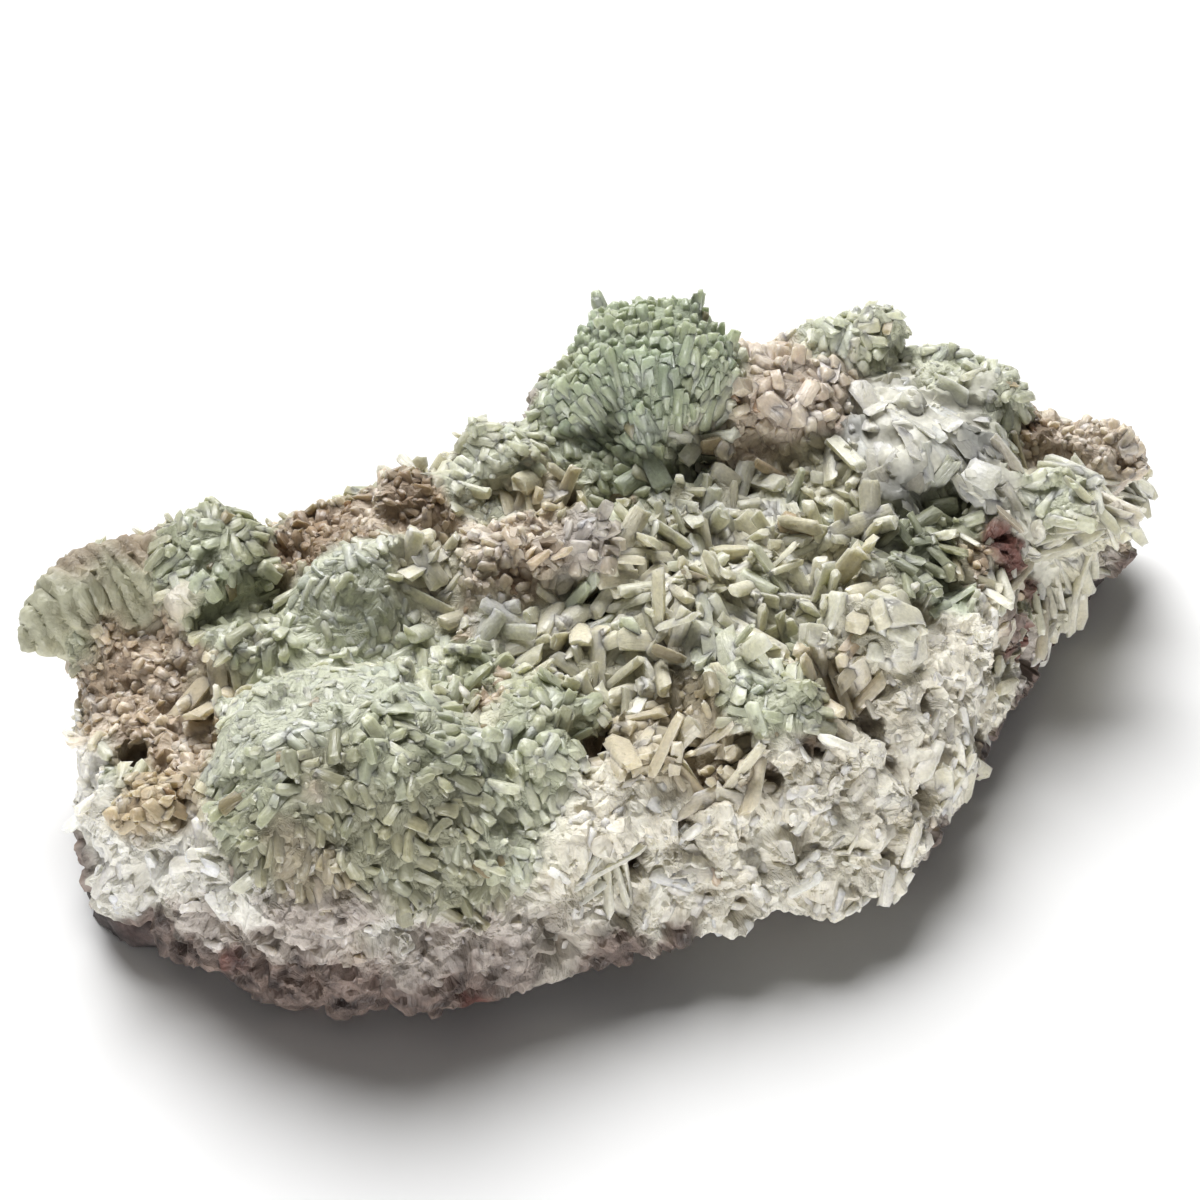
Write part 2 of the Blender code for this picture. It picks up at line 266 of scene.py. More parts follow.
# %% Name the looks
LOOKS = {
    # look: light colour, dark colour, cover
    "silky green": ((212, 215, 193), (190, 193, 170), "fine"),
    "pale green": ((214, 216, 193), (182, 185, 160), "lozenge"),
    "green": ((188, 191, 165), (152, 155, 129), "lozenge"),
    "olive green": ((172, 171, 146), (134, 132, 108), "lozenge"),
    "fan green": ((180, 189, 163), (142, 151, 126), "long"),
    "dark green": ((160, 163, 140), (114, 117, 96), "blade"),
    "barrel green": ((190, 189, 165), (150, 148, 124), "barrel"),
    "barrel tan": ((178, 164, 142), (134, 119, 99), "barrel"),
    "cream": ((232, 229, 208), (196, 191, 168), "blade"),
    "mint blades": ((206, 213, 190), (166, 174, 151), "blade"),
    "white blades": ((242, 240, 226), (208, 205, 188), "blade"),
    "warm cream": ((220, 210, 186), (180, 167, 142), "blade"),
    "white blocks": ((232, 229, 211), (200, 195, 175), "block"),
    "tan crystals": ((172, 162, 138), (132, 121, 99), "lozenge"),
    "tan": ((208, 190, 167), (150, 129, 107), "grain"),
    "rust": ((180, 159, 134), (122, 100, 79), "grain"),
    "pink": ((228, 214, 194), (184, 166, 146), "grain"),
    "pale pink": ((220, 207, 190), (180, 162, 145), "popcorn"),
    "yellow": ((204, 187, 157), (160, 141, 112), "grain"),
    "lilac": ((200, 192, 182), (152, 142, 132), "popcorn"),
    "pearl": ((222, 216, 202), (196, 188, 172), "barrel"),
    "massive": ((226, 224, 211), (180, 178, 166), "massive"),
    # painted shade: a darker copy of the massive look, for the hollows of the massive patch
    "shaded grey": ((160, 160, 154), (120, 120, 114), "massive"),
    "chalk wall": ((244, 242, 234), (216, 212, 200), "fibre"),
    "white wall": ((246, 242, 228), (222, 215, 198), "fibre"),
    "cream wall": ((226, 222, 203), (188, 183, 162), "fin"),
    "pink wall": ((212, 203, 194), (152, 141, 132), "fibre"),
    "red stain": ((122, 80, 70), (86, 52, 45), "crust"),
    "hollow": ((124, 106, 86), (80, 66, 51), "none"),
    "dark crust": ((152, 133, 123), (54, 42, 38), "crust"),
    "basalt": ((112, 102, 98), (46, 41, 40), "crust"),
}
LOOK_NAMES = list(LOOKS)


def linear(colour):
    """A screen colour, 0 to 255, as the linear values that a shader works in."""
    c = np.asarray(colour, float) / 255
    return np.where(c <= 0.04045, c / 12.92, ((c + 0.055) / 1.055) ** 2.4)


look_light = np.array([linear(LOOKS[n][0]) for n in LOOK_NAMES])
look_dark = np.array([linear(LOOKS[n][1]) for n in LOOK_NAMES])
look_cover = np.array([LOOKS[n][2] for n in LOOK_NAMES])
print(len(LOOK_NAMES), "looks")

# %% [markdown]
# ## Where each look is
# The patches are read off the photograph: how far across and down its middle is seen,
# in pixels of a 1200 by 1200 frame, and its reach in millimetres. A ray from the camera finds
# the point of the mass that is seen there, so every patch sits on the surface itself and not in
# front of it. What the camera can't see is decided later, by height and slope.

# %% Place the looks
SEEN = {
    "silky green": [
        (290, 685, 13), (235, 725, 9), (330, 650, 9), (380, 690, 9), (365, 580, 9),
        (345, 585, 6), (310, 575, 5), (345, 615, 7),
    ],
    "pale green": [
        (495, 475, 8), (1068, 497, 7), (765, 690, 7), (270, 645, 9),
        (850, 325, 10), (960, 368, 9), (1010, 400, 6), (525, 790, 8), (500, 850, 7),
        (450, 720, 8),
    ],
    "green": [
        (215, 550, 12), (250, 530, 7), (430, 760, 9), (790, 700, 6), (240, 800, 8), (560, 700, 8),
        (400, 740, 11), (80, 650, 4),
    ],
    "olive green": [(430, 810, 11), (340, 790, 11), (390, 870, 9), (470, 880, 7), (250, 850, 6)],
    "fan green": [(650, 350, 17), (600, 400, 8), (715, 330, 9), (640, 420, 7)],
    "barrel green": [(50, 615, 8), (80, 600, 8), (115, 580, 7), (130, 610, 4)],
    "barrel tan": [(90, 560, 6), (140, 545, 5)],
    "dark green": [(920, 545, 8), (942, 505, 7), (800, 640, 5), (690, 470, 5)],
    "cream": [
        (425, 568, 8), (640, 600, 11), (700, 560, 11), (760, 520, 13), (600, 665, 10), (820, 480, 8),
        (780, 590, 11), (720, 625, 9), (560, 630, 7), (700, 505, 7), (690, 440, 5), (850, 540, 8),
    ],
    "mint blades": [
        (700, 560, 5), (765, 575, 4), (640, 645, 5), (720, 640, 5), (590, 610, 4), (825, 525, 5),
        (670, 470, 5), (790, 500, 4), (960, 600, 4),
    ],
    "white blades": [
        (740, 500, 5), (805, 590, 5), (660, 585, 4), (780, 545, 4), (560, 645, 4), (620, 560, 3.5),
        (500, 620, 4),
    ],
    "warm cream": [(660, 735, 9), (700, 770, 8), (210, 690, 6), (540, 500, 6), (650, 640, 6), (840, 700, 6)],
    "white blocks": [(870, 605, 9), (900, 640, 6), (730, 490, 5)],
    "tan crystals": [(300, 860, 6.5), (265, 840, 4), (335, 880, 4), (690, 690, 6)],
    "tan": [(130, 660, 10), (165, 715, 8), (190, 770, 6)],
    "rust": [(330, 530, 9), (285, 560, 6), (100, 690, 6), (1045, 430, 4), (410, 500, 6)],
    "pink": [
        (505, 550, 10), (100, 715, 5), (120, 690, 3.5), (170, 655, 3.5), (370, 512, 5),
        (180, 740, 3), (168, 712, 3.5), (315, 790, 3.5), (745, 440, 6), (1080, 437, 8),
        (1130, 450, 6),
    ],
    "pale pink": [(795, 395, 11), (760, 355, 7), (840, 380, 6)],
    "yellow": [(150, 800, 7)],
    "lilac": [(590, 545, 7)],
    "massive": [
        (920, 415, 12), (965, 392, 8), (890, 460, 7), (972, 470, 4.5), (998, 498, 4.5),
        (1022, 528, 4), (1046, 572, 4), (870, 400, 6),
    ],
    "pearl": [(185, 600, 3.6)],
    # painted shade in the hollows of the massive patch
    "shaded grey": [(855, 428, 4), (980, 442, 4), (900, 490, 4)],
    "white wall": [
        (700, 860, 13), (820, 820, 13), (610, 820, 9), (900, 750, 12), (560, 920, 10), (980, 670, 11),
        (880, 880, 9), (760, 900, 11), (650, 900, 7),
    ],
    "chalk wall": [(110, 860, 10), (90, 780, 7), (180, 870, 8), (240, 910, 6), (400, 925, 6)],
    "cream wall": [(1110, 530, 12), (1070, 590, 9), (850, 850, 5), (600, 880, 5), (1140, 500, 6)],
    "pink wall": [
        (200, 915, 8), (290, 940, 8), (420, 955, 8), (520, 950, 8), (350, 920, 7), (560, 925, 7),
        (880, 905, 5),
    ],
    "red stain": [
        (1003, 543, 3.4), (1011, 562, 3.0), (1030, 590, 2.8), (1012, 640, 2.8), (1000, 650, 2.0),
        (230, 960, 3.5), (470, 1000, 3),
    ],
    "hollow": [
        (255, 635, 3.2), (215, 735, 3.4), (135, 755, 3), (600, 748, 3.4), (632, 852, 3.2),
        (490, 493, 2.8), (1052, 460, 3.2), (865, 722, 3), (770, 782, 2.8), (820, 745, 2.8),
    ],
    "dark crust": [
        (120, 925, 7), (160, 940, 7), (205, 962, 5), (260, 978, 7), (320, 988, 8), (380, 995, 8),
        (440, 990, 7), (480, 985, 4), (600, 950, 7), (520, 962, 7), (550, 942, 8), (680, 940, 4),
        (80, 895, 5), (1140, 540, 3), (1100, 615, 4), (1060, 650, 3),
    ],
}
FOCAL_PIXELS = LENS / SENSOR * FRAME_PIXELS


def seen_at(across, down):
    """The point of the mass that the portrait shows at a pixel."""
    middle = FRAME_PIXELS / 2
    way = Vector(((across - middle) / FOCAL_PIXELS, (middle - down) / FOCAL_PIXELS, -1))
    way.rotate(camera.rotation_euler)
    hit = skin.ray_cast(eye, way.normalized())[0]
    return hit or skin.find_nearest(eye + way.normalized() * DISTANCE)[0]


patches = [
    (LOOK_NAMES.index(look), seen_at(across, down), reach)
    for look, spots in SEEN.items()
    for across, down, reach in spots
]
print(len(patches), "patches on the side that the camera sees")

# %% [markdown]
# ## From patches to weights
# For any points, the patch weights fall off like a bell with distance. The points are shifted by
# a little noise first, so that borders between looks wander as they do in stone. Where no patch
# reaches, dark crust clings to the foot, broken walls are white, pink or cream, and the top is
# green or cream.

# %% Weigh the looks anywhere
BORDER_WANDER = 2.2
BORDER_GRAIN = 4.0
BELL = 2.4
PLAIN_WEIGHT = 0.035
BROAD_CHOICE = 17.0
FINE_CHOICE = 6.0
PALE_ABOVE, CREAM_BELOW, TAN_ABOVE = 0.12, -0.18, 0.32
PINK_WALL_ABOVE, CREAM_WALL_BELOW, PINK_ABOVE = 0.16, -0.2, 0.38
FOOT_HEIGHT = 8.5
FOOT_WANDER = 5


def ripple(points, grain, shift=0.0):
    """Smooth noise between -1 and 1, at a grain in mm. Each use has a shift, so no two are alike."""
    return np.array([noise.noise(Vector(p)) for p in points / grain + shift])


def plain_looks(points, normals):
    """The look of each point that no patch reaches."""
    choice = ripple(points, BROAD_CHOICE, 40.0)
    fine_choice = ripple(points, FINE_CHOICE, 80.0)
    top = np.where(choice < CREAM_BELOW, "cream", "green")
    top = np.where(choice > PALE_ABOVE, "pale green", top)
    top = np.where(fine_choice > TAN_ABOVE, "tan", top)
    wall = np.where(choice < CREAM_WALL_BELOW, "cream wall", "white wall")
    wall = np.where(choice > PINK_WALL_ABOVE, "pink wall", wall)
    wall = np.where(fine_choice > PINK_ABOVE, "pink", wall)
    look = np.where(normals[:, 2] < WALL_SLOPE, wall, top)
    look = np.where(points[:, 2] < FOOT_HEIGHT + FOOT_WANDER * fine_choice, "dark crust", look)
    return np.array([LOOK_NAMES.index(name) for name in look])


def weigh_looks(points, normals):
    """The share of every look at every point."""
    wander = np.stack([ripple(points, BORDER_GRAIN, 10.0 * axis) for axis in (1, 2, 3)], axis=1)
    moved = points + BORDER_WANDER * wander
    weights = np.zeros((len(points), len(LOOK_NAMES)))
    weights[np.arange(len(points)), plain_looks(moved, normals)] = PLAIN_WEIGHT
    for look, middle, reach in patches:
        away = np.linalg.norm(moved - np.array(middle), axis=1) / reach
        weights[:, look] = np.maximum(weights[:, look], np.exp(-BELL * away**2))
    weights **= 2
    return weights / weights.sum(axis=1, keepdims=True)


skin_weights = weigh_looks(skin_points, skin_normals)
skin_look = skin_weights.argmax(axis=1)
print({name: int((skin_look == i).sum()) for i, name in enumerate(LOOK_NAMES)})

# %% [markdown]
# ## Fibres
# The broken walls are felted with fibres. A sheaf of them opens from a root, and the next sheaf
# opens from another. Voronoi cells share the space out: each cell's own point, a little lowered so
# that the fibres open upwards, is the root of one sheaf. The massive patch is the exception: all
# of it is read from one far root, so that its ridges and plates run the same way.

# %% Find the way of the fibres
SHEAF_SIZE = 10.0
ROOT_DROP = 4.0
SHEAF_REACH = 6.0
ROOT_SHIFT = 0.37
FLOW_START = (835, 330)


def sheaf_roots(points):
    """The root of the sheaf that each point belongs to."""
    near = [noise.voronoi(Vector(point))[1][0] for point in points / SHEAF_SIZE]
    return np.array(near) * SHEAF_SIZE - np.array([0, 0, ROOT_DROP])


def unit(vectors):
    """The same directions, each of length one."""
    return vectors / np.maximum(np.linalg.norm(vectors, axis=1, keepdims=True), 1e-9)


def felted(points, roots, grain, length):
    """Places for noise that is drawn out along the fibres of each sheaf."""
    from_root = points - roots
    reach = np.linalg.norm(from_root, axis=1, keepdims=True)
    return from_root / np.maximum(reach, 0.1) * (SHEAF_REACH / grain + reach / length) + ROOT_SHIFT * roots


skin_roots = sheaf_roots(skin_points)
skin_roots[look_cover[skin_look] == "massive"] = seen_at(*FLOW_START)
skin_fibres = unit(skin_points - skin_roots)
print("sheaves:", len(np.unique(skin_roots.round(3), axis=0)))

# %% [markdown]
# ## The relief of each ground
# Each kind of ground gets its own relief, made of a few layers of noise. Under crystals it is sunk
# a little, so that they stand in it and not on it. The box-work has deep gaps. The walls get ridges
# along their fibres, the barrel gets folds across its axis, the massive patch is chipped into
# ridged flats, and the dark crust is cellular. Kept in one table, the layers are easy to tune by
# eye.

# %% Write the layers of relief
RELIEF = {
    # cover: sunk by, then layers of noise: kind, height, grain
    "fine": (0.1, ("soft", 0.5, 3.0), ("ridge", 0.2, 1.6)),
    "lozenge": (0.2, ("soft", 0.8, 2.6), ("facet", 0.5, 2.2), ("pit", 1.2, 5.0)),
    "long": (0.4, ("soft", 0.6, 2.4)),
    "barrel": (0.0, ("fold", 0.6, 2.4), ("soft", 0.4, 4.0), ("ridge", 0.1, 1.2)),
    "blade": (0.8, ("soft", 0.9, 3.0), ("pit", 4.6, 5.5)),
    "block": (0.6, ("facet", 1.0, 4.0), ("pit", 2.4, 5.0)),
    "grain": (0.1, ("soft", 0.8, 2.4), ("facet", 1.0, 2.4), ("pit", 2.6, 4.0)),
    "popcorn": (0.2, ("soft", 1.0, 3.6)),
    "massive": (
        -0.4, ("facet", 1.2, 6.0), ("crest", 0.7, 5.0), ("ridge", 0.8, 2.0), ("ridge", 0.25, 0.8),
    ),
    "fibre": (
        0.0, ("soft", 0.9, 7.0), ("facet", 0.8, 4.0), ("ridge", 0.7, 2.4), ("ridge", 0.35, 1.1),
        ("pit", 3.4, 4.4),
    ),
    "fin": (0.5, ("soft", 0.8, 6.0), ("ridge", 1.5, 3.2), ("ridge", 0.5, 1.4), ("pit", 4.5, 5.0)),
    "crust": (-1.2, ("soft", 0.9, 3.4), ("cell", 1.7, 1.9), ("facet", 1.0, 2.2), ("pit", 3.2, 2.6)),
    "none": (0.0, ("soft", 0.7, 2.2), ("facet", 1.0, 2.6)),
}
BARREL_TURN = math.radians(44)
BARREL_AXIS = np.array([math.cos(BARREL_TURN), math.sin(BARREL_TURN), 0.05])
FOLD_EDGE = 0.45
FOLD_WANDER = 0.25
FIBRE_STRETCH = 7.0
PIT_EDGE = 0.1
TILT_SPREAD = 9.1


def cover_share(weights, cover):
    """How much of each point belongs to looks with one kind of cover."""
    return weights[:, look_cover == cover].sum(axis=1)


def chipped(place):
    """Height on one of many tilted flats that meet in steps, as where a stone has broken."""
    middle = noise.voronoi(place)[1][0]
    tilt = noise.cell_vector(middle * TILT_SPREAD) - Vector((0.5, 0.5, 0.5))
    return 2 * tilt.dot(place - middle)


def layer(kind, points, roots, grain):
    """One layer of relief at the points, between about -1 and 1."""
    if kind == "soft":
        return ripple(points, grain, 3.0)
    if kind == "crest":
        return 1 - 3 * np.abs(ripple(points, grain, 7.0))
    if kind == "pit":
        return -2 * np.clip(-ripple(points, grain, 5.0) - PIT_EDGE, 0, 1)
    if kind == "cell":
        return 0.5 - np.array([noise.voronoi(Vector(p))[0][0] for p in points / grain])
    if kind == "fold":
        along = points @ BARREL_AXIS / grain + FOLD_WANDER * ripple(points, 4.0, 12.0)
        return 2 * np.abs(np.sin(math.pi * along)) ** FOLD_EDGE - 1
    if kind == "facet":
        return np.array([chipped(Vector(p)) for p in points / grain])
    return 1 - 3 * np.abs(ripple(felted(points, roots, grain, FIBRE_STRETCH * grain), 1.0))


print("grounds:", list(RELIEF))

# %% [markdown]
# ## Carve the skin
# Now the layers are added up and every point is moved along its calm normal. Pits and hollows go
# in along the broad normal. Where a point faces other skin close by, they are left out: there the
# stone is folded or thin, and a pit could come out of it as a ball. A few lumps are swollen at the
# end.

# %% Push the skin in and out
SWELLS = [
    # across and down in the portrait, reach and height in mm
    (185, 600, 3.6, 2.2), (345, 636, 7.0, 3.2), (934, 499, 6.0, 4.5), (150, 800, 4.5, 1.8),
]
FAINT_SHARE = 0.01
FINE_RELIEF = 0.25
FINE_GRAIN = 1.3
HOLLOW_DEPTH = 2.6
DEEPEST = 7.0
FOOT_CALM = 14.0
CALMEST = 0.3
CRAMPED = 6.0
CLEAR_OF_SKIN = 0.3
LOWEST = 0.4


def free_ahead(points, normals):
    """How far each point looks along its normal before it meets the skin again, up to a limit."""
    limit = 2 * CRAMPED
    hits = (
        skin.ray_cast(Vector(point + CLEAR_OF_SKIN * normal), Vector(normal), limit)[3]
        for point, normal in zip(points, normals)
    )
    return np.array([limit if reach is None else reach for reach in hits])


room = free_ahead(skin_points, skin_normals)
waxy = cover_share(skin_weights, "massive")
relief = FINE_RELIEF * (1 - waxy) * ripple(skin_points, FINE_GRAIN, 9.0)
pits = -HOLLOW_DEPTH * skin_weights[:, LOOK_NAMES.index("hollow")]
for cover, (sunk, *layers) in RELIEF.items():
    share = cover_share(skin_weights, cover)
    part = share > FAINT_SHARE
    relief[part] -= share[part] * sunk
    for kind, tall, grain in layers:
        height = share[part] * tall * layer(kind, skin_points[part], skin_roots[part], grain)
        (pits if kind == "pit" else relief)[part] += height
relief *= np.clip(skin_points[:, 2] / FOOT_CALM, CALMEST, 1)
pits *= np.clip((room - CRAMPED) / CRAMPED, 0, 1)
for across_portrait, down_portrait, reach, height in SWELLS:
    away = np.linalg.norm(skin_points - np.array(seen_at(across_portrait, down_portrait)), axis=1) / reach
    relief += height * np.exp(-BELL * away**2)
pits = np.maximum(pits, -DEEPEST)
carved = skin_points + skin_normals * relief[:, None] + broad_normals * pits[:, None]
relief += pits
carved[:, 2] = np.maximum(carved[:, 2], LOWEST)
mass.data.vertices.foreach_set("co", (carved * MM).astype(np.float32).ravel())
mass.data.update()
print("relief from", round(relief.min(), 1), "to", round(relief.max(), 1), "mm")

# %% [markdown]
# ## Colour the skin
# A colour for each point is worked out once and kept as an attribute. It mixes the light and dark
# colour of its looks by noise. Ground that lies deep is painted darker, as shade, and the deepest is
# mixed towards the brown of the hollows, which is partly brown stain and partly painted shade. A
# second attribute keeps the places drawn out along the fibres, for the fine bumps.

# %% Store the skin's tint
DEPTH_SHADE = 0.055
SHADE_LIMITS = (0.55, 1.08)
# depths at which deep ground turns to the hollows' brown: partly brown stain, partly painted shade
DIRT_AND_SHADE_FROM = 2.0
DIRT_AND_SHADE_FULL = 4.0
DIRT_AND_SHADE_MOST = 0.75
COARSE_SPECKLE = 0.8
FINE_SPECKLE = 0.5
MASSIVE_CALM = 0.7
BARREL_CALM = 0.5
FELT_GRAIN = 0.9
FELT_LENGTH = 6.0


def mix_looks(weights, share):
    """The colour of each point: its looks' dark colours at share 0 and light ones at share 1."""
    share = np.clip(share, 0, 1)[:, None]
    return (weights @ look_dark) * (1 - share) + (weights @ look_light) * share


def store_tint(mesh, colours, grainy=1.0):
    """Keeps the colours, and beside them how grainy each point is, from waxy 0 to 1."""
    tint = mesh.attributes.new("tint", "FLOAT_COLOR", "POINT")
    rgba = np.ones((len(colours), 4), np.float32)
    rgba[:, 3] = grainy
    rgba[:, :3] = np.clip(colours, 0, 1)
    tint.data.foreach_set("color", rgba.ravel())


def store_felt(mesh, places):
    """The places, drawn out along the fibres, that the finish reads its fine bumps at."""
    felt = mesh.attributes.new("felt", "FLOAT_VECTOR", "POINT")
    felt.data.foreach_set("vector", places.astype(np.float32).ravel())


coarse, fine = ripple(skin_points, 2.6, 20.0), ripple(skin_points, 1.0, 30.0)
speckle = 0.5 + COARSE_SPECKLE * coarse + FINE_SPECKLE * fine
# painted shade: ground that lies deep is darkened by its depth
shade = np.clip(1 + DEPTH_SHADE * relief, *SHADE_LIMITS)
# partly brown stain and partly painted shade: the deepest ground is mixed towards the brown of the hollows
dirt_and_shade = np.clip((-relief - DIRT_AND_SHADE_FROM) / (DIRT_AND_SHADE_FULL - DIRT_AND_SHADE_FROM), 0, DIRT_AND_SHADE_MOST)[:, None]
skin_tint = mix_looks(skin_weights, speckle) * shade[:, None]
skin_tint = skin_tint * (1 - dirt_and_shade) + look_light[LOOK_NAMES.index("hollow")] * dirt_and_shade
grainy = 1 - MASSIVE_CALM * waxy - BARREL_CALM * cover_share(skin_weights, "barrel")
store_tint(mass.data, skin_tint, grainy)
store_felt(mass.data, felted(skin_points, skin_roots, FELT_GRAIN, FELT_LENGTH))
mass.data.shade_smooth()
print("dirt on", round(100 * float((dirt_and_shade > 0.1).mean())), "percent of the points")

# %% [markdown]
# ## The shapes of single crystals
# A prehnite crystal is a flat bar with bevelled ends. A six-sided drum is flattened, and each end
# is extruded and narrowed. It is repeated thousands of times, so it has only a few dozen faces.
# Each shape gets six variants with nudged corners, because no two crystals are alike. Blocks and
# popcorn are bevelled cubes, and the plates of the massive patch are five-sided.

# %% Model the single crystals
VARIANTS = 6
NUDGE = (0.08, 0.08, 0.04)
BLOCK_BEVEL = 0.16
shape_dice = np.random.default_rng(5)


def bar(ends, shoulder, sides=6):
    """A bar with some sides, one unit in each size, with both ends narrowed."""
    made = bmesh.new()
    bmesh.ops.create_cone(
        made, cap_ends=True, segments=sides, radius1=0.5, radius2=0.5, depth=1 - shoulder
    )
    for side in (-1, 1):
        cap = next(f for f in made.faces if f.normal.z * side > 0.9)
        end = bmesh.ops.extrude_discrete_faces(made, faces=[cap])["faces"][0]
        bmesh.ops.translate(made, vec=(0, 0, side * shoulder / 2), verts=end.verts)
        bmesh.ops.scale(made, vec=(*ends, 1), verts=end.verts)
    return made


def chunk():
    """A bevelled block."""
    made = bmesh.new()
    bmesh.ops.create_cube(made, size=1.0)
    bmesh.ops.bevel(
        made, geom=made.edges[:], affect="EDGES", offset=BLOCK_BEVEL, segments=1, profile=0.5, material=-1
    )
    return made


def finish_shape(made):
    """Nudges the corners, cuts the faces to triangles and returns both as arrays."""
    for vertex in made.verts:
        vertex.co += Vector(shape_dice.normal(0, 1, 3) * NUDGE)
    bmesh.ops.triangulate(made, faces=made.faces)
    bmesh.ops.recalc_face_normals(made, faces=made.faces)
    corners = np.array([v.co for v in made.verts])
    faces = np.array([[v.index for v in f.verts] for f in made.faces])
    made.free()
    return corners, faces


SHAPES = {
    "fine": lambda: bar((0.7, 0.65), 0.36),
    "lozenge": lambda: bar((0.74, 0.7), 0.26),
    "long": lambda: bar((0.7, 0.65), 0.2),
    "blade": lambda: bar((0.8, 0.72), 0.18),
    "block": chunk,
    "grain": lambda: bar((0.7, 0.65), 0.34),
    "popcorn": chunk,
    "fibre": lambda: bar((0.7, 0.6), 0.3),
    "fin": lambda: bar((0.6, 0.7), 0.3),
    "massive": lambda: bar((0.75, 0.5), 0.4, sides=5),
}
shapes = {cover: [finish_shape(make()) for _ in range(VARIANTS)] for cover, make in SHAPES.items()}
print({cover: len(variants[0][1]) for cover, variants in shapes.items()}, "triangles each")

# %% [markdown]
# ## Sow the crystals
# Points are thrown over the whole skin, then thinned so that no two are closer than their kind
# allows. That gives an even but unpatterned cover, which plain random points don't: they clump.

# %% Throw points and thin them
SPACING = {
    "fine": 1.5, "lozenge": 1.65, "long": 1.5, "blade": 2.15, "block": 2.6,
    "grain": 1.45, "popcorn": 1.95, "fibre": 3.2, "fin": 2.1, "massive": 2.8,
}
THROWN_PER_MM2 = 1.6
UNDERSIDE = -0.35
SOW_FROM = 8.0
sow_dice = np.random.default_rng(23)

mass.data.calc_loop_triangles()
triangles = np.array([t.vertices for t in mass.data.loop_triangles])
corners = carved[triangles]
cross = np.cross(corners[:, 1] - corners[:, 0], corners[:, 2] - corners[:, 0])
areas = np.linalg.norm(cross, axis=1) / 2
thrown = int(areas.sum() * THROWN_PER_MM2)
landed = sow_dice.choice(len(triangles), size=thrown, p=areas / areas.sum())
slide = sow_dice.dirichlet((1, 1, 1), size=thrown)
spots = (corners[landed] * slide[:, :, None]).sum(axis=1)
spot_vertex = triangles[landed, slide.argmax(axis=1)]
spot_cover = look_cover[skin_look[spot_vertex]]
has_crystals = np.isin(spot_cover, list(SPACING))
open_air = (skin_normals[spot_vertex, 2] > UNDERSIDE) & (spots[:, 2] > SOW_FROM) & has_crystals


def thin_out(points, spacings):
    """Indices of points that keep their spacing from all points kept before them."""
    cell = max(SPACING.values())
    kept, taken = [], {}
    for index in np.flatnonzero(open_air):
        point, spacing = points[index], spacings[index]
        home = tuple((point // cell).astype(int))
        near = (
            other
            for dx in (-1, 0, 1)
            for dy in (-1, 0, 1)
            for dz in (-1, 0, 1)
            for other in taken.get((home[0] + dx, home[1] + dy, home[2] + dz), ())
        )
        if all(math.dist(point, points[other]) > spacing for other in near):
            kept.append(index)
            taken.setdefault(home, []).append(index)
    return np.array(kept)


spot_spacing = np.array([SPACING.get(cover, 1.0) for cover in spot_cover])
sown = thin_out(spots, spot_spacing)
print(thrown, "thrown,", len(sown), "kept")

# %% [markdown]
# ## Size them
# Each kind has its own least and greatest sizes. A smooth noise swings the sizes of neighbours
# together, so that coarse and fine ground follow each other as they do on the specimen.

# %% Size every crystal
GROWTH = {
    # cover: length, width, thickness in mm, least and greatest lean outwards, sunk share, buried mm
    "fine": ((2.4, 3.6), (1.4, 2.0), (0.9, 1.2), (0.02, 0.18), 0.5, 0.36),
    "lozenge": ((2.8, 4.8), (1.5, 2.2), (1.1, 1.6), (0.1, 0.42), 0.5, 0.4),
    "long": ((4.0, 6.0), (1.7, 2.6), (1.2, 1.8), (0.2, 0.5), 0.78, 0.0),
    "blade": ((3.8, 9.5), (1.8, 3.2), (1.1, 1.8), (0.03, 0.6), 0.46, 0.1),
    "block": ((3.6, 6.0), (2.4, 3.6), (1.6, 2.4), (0.05, 0.6), 0.5, 0.2),
    "grain": ((1.6, 3.4), (1.3, 2.3), (0.9, 1.5), (0.0, 0.7), 0.5, 0.35),
    "popcorn": ((2.2, 5.2), (1.6, 3.0), (1.3, 2.2), (0.0, 0.85), 0.5, 0.3),
    "fibre": ((2.6, 5.6), (1.3, 2.2), (0.9, 1.4), (0.0, 0.22), 0.55, 0.6),
    "fin": ((6.5, 11.0), (1.8, 2.8), (0.8, 1.3), (0.0, 0.12), 0.5, 0.2),
    "massive": ((3.0, 6.5), (2.2, 4.0), (0.8, 1.1), (0.0, 0.1), 0.5, 0.4),
}
SIZE_SPREAD = 0.22
SIZE_SWING = 0.7
SIZE_PATCH = 7.0
SIZE_LIMITS = (0.6, 1.3)

spots = spots[sown]
covers = spot_cover[sown]
outward = skin_normals[spot_vertex[sown]]
weights = skin_weights[spot_vertex[sown]]
depth = relief[spot_vertex[sown]]
fibres = skin_fibres[spot_vertex[sown]]
count = len(sown)
low_high = np.array([[g for pair in GROWTH[c][:4] for g in pair] for c in covers])
sizes = low_high[:, 0:6:2] + (low_high[:, 1:6:2] - low_high[:, 0:6:2]) * sow_dice.random((count, 3))
swing = 1 + SIZE_SWING * ripple(spots, SIZE_PATCH, 60.0)
swing += SIZE_SPREAD * sow_dice.normal(size=count)
sizes *= np.clip(swing, *SIZE_LIMITS)[:, None]
lean = low_high[:, 6] + (low_high[:, 7] - low_high[:, 6]) * sow_dice.random(count)
sunk = np.array([GROWTH[c][4] for c in covers])
buried = np.array([GROWTH[c][5] for c in covers])
print("lengths from", round(sizes[:, 0].min(), 1), "to", round(sizes[:, 0].max(), 1), "mm")

# %% [markdown]
# ## Turn them
# Each kind lies in its own way, and neighbours lie alike. On the domes the crystals lean out of
# the surface and mostly point downhill. On the high dome they fan out from its front foot. In the
# box-work they cross at many angles. On the walls they follow the fibres, and so do the plates of
# the massive patch. The fins at the right end fan out from the top of the wall. The broad face of
# a crystal that lies down looks outwards. Only the fins stand on edge.

